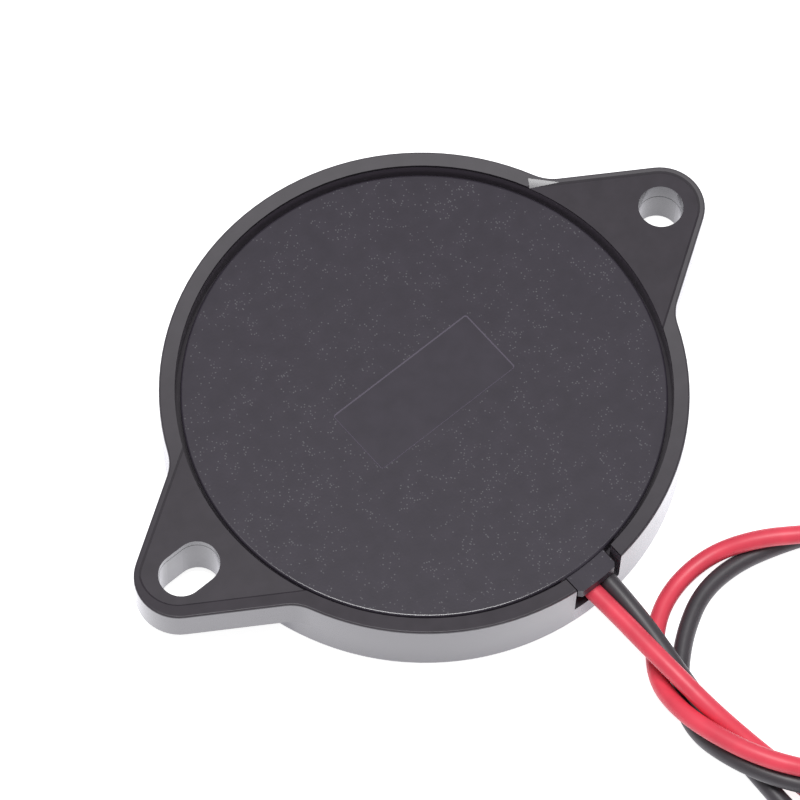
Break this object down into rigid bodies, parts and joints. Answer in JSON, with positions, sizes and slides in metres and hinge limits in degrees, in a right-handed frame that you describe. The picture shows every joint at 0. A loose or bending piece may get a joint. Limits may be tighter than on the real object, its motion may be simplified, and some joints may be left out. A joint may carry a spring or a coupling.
{
  "type": "flange-mount piezo buzzer",
  "caption": "Black flange-mount piezo buzzer, 30 mm round, with two pierced mounting ears, a sunk back cover and red and black flying leads.",
  "frame": {"origin": "centre of the round body on the plane of its sounding face, which it lies on", "axes": "+Z from the sounding face up to the back cover, +X towards the ear with the round hole, -Y where the leads leave"},
  "size_m": [0.041, 0.0557, 0.0046],
  "materials": {
    "housing_plastic": "black moulded plastic, polished walls and a faintly textured back",
    "cover_plastic": "black moulded plastic, fine spark-eroded texture",
    "silicone": "cured white silicone adhesive",
    "brass": "rolled brass sheet",
    "ceramic": "fired piezo ceramic",
    "silver": "fired silver paste",
    "solder": "bright solder",
    "tinned_copper": "twisted strands dipped in tin",
    "red_insulation": "soft red insulation, slightly glossy",
    "black_insulation": "soft black insulation, slightly glossy"
  },
  "bodies": {
    "root": {"housing": "housing_plastic", "back_cover": "cover_plastic", "adhesive_ring": "silicone", "brass_plate": "brass", "ceramic_disc": "ceramic", "silver_electrode": "silver", "red_solder_joint": "solder", "black_solder_joint": "solder", "red_inner_strands": "tinned_copper", "black_inner_strands": "tinned_copper", "red_lead": "red_insulation", "black_lead": "black_insulation", "red_tinned_end": "tinned_copper", "black_tinned_end": "tinned_copper"}
  },
  "joints": []
}
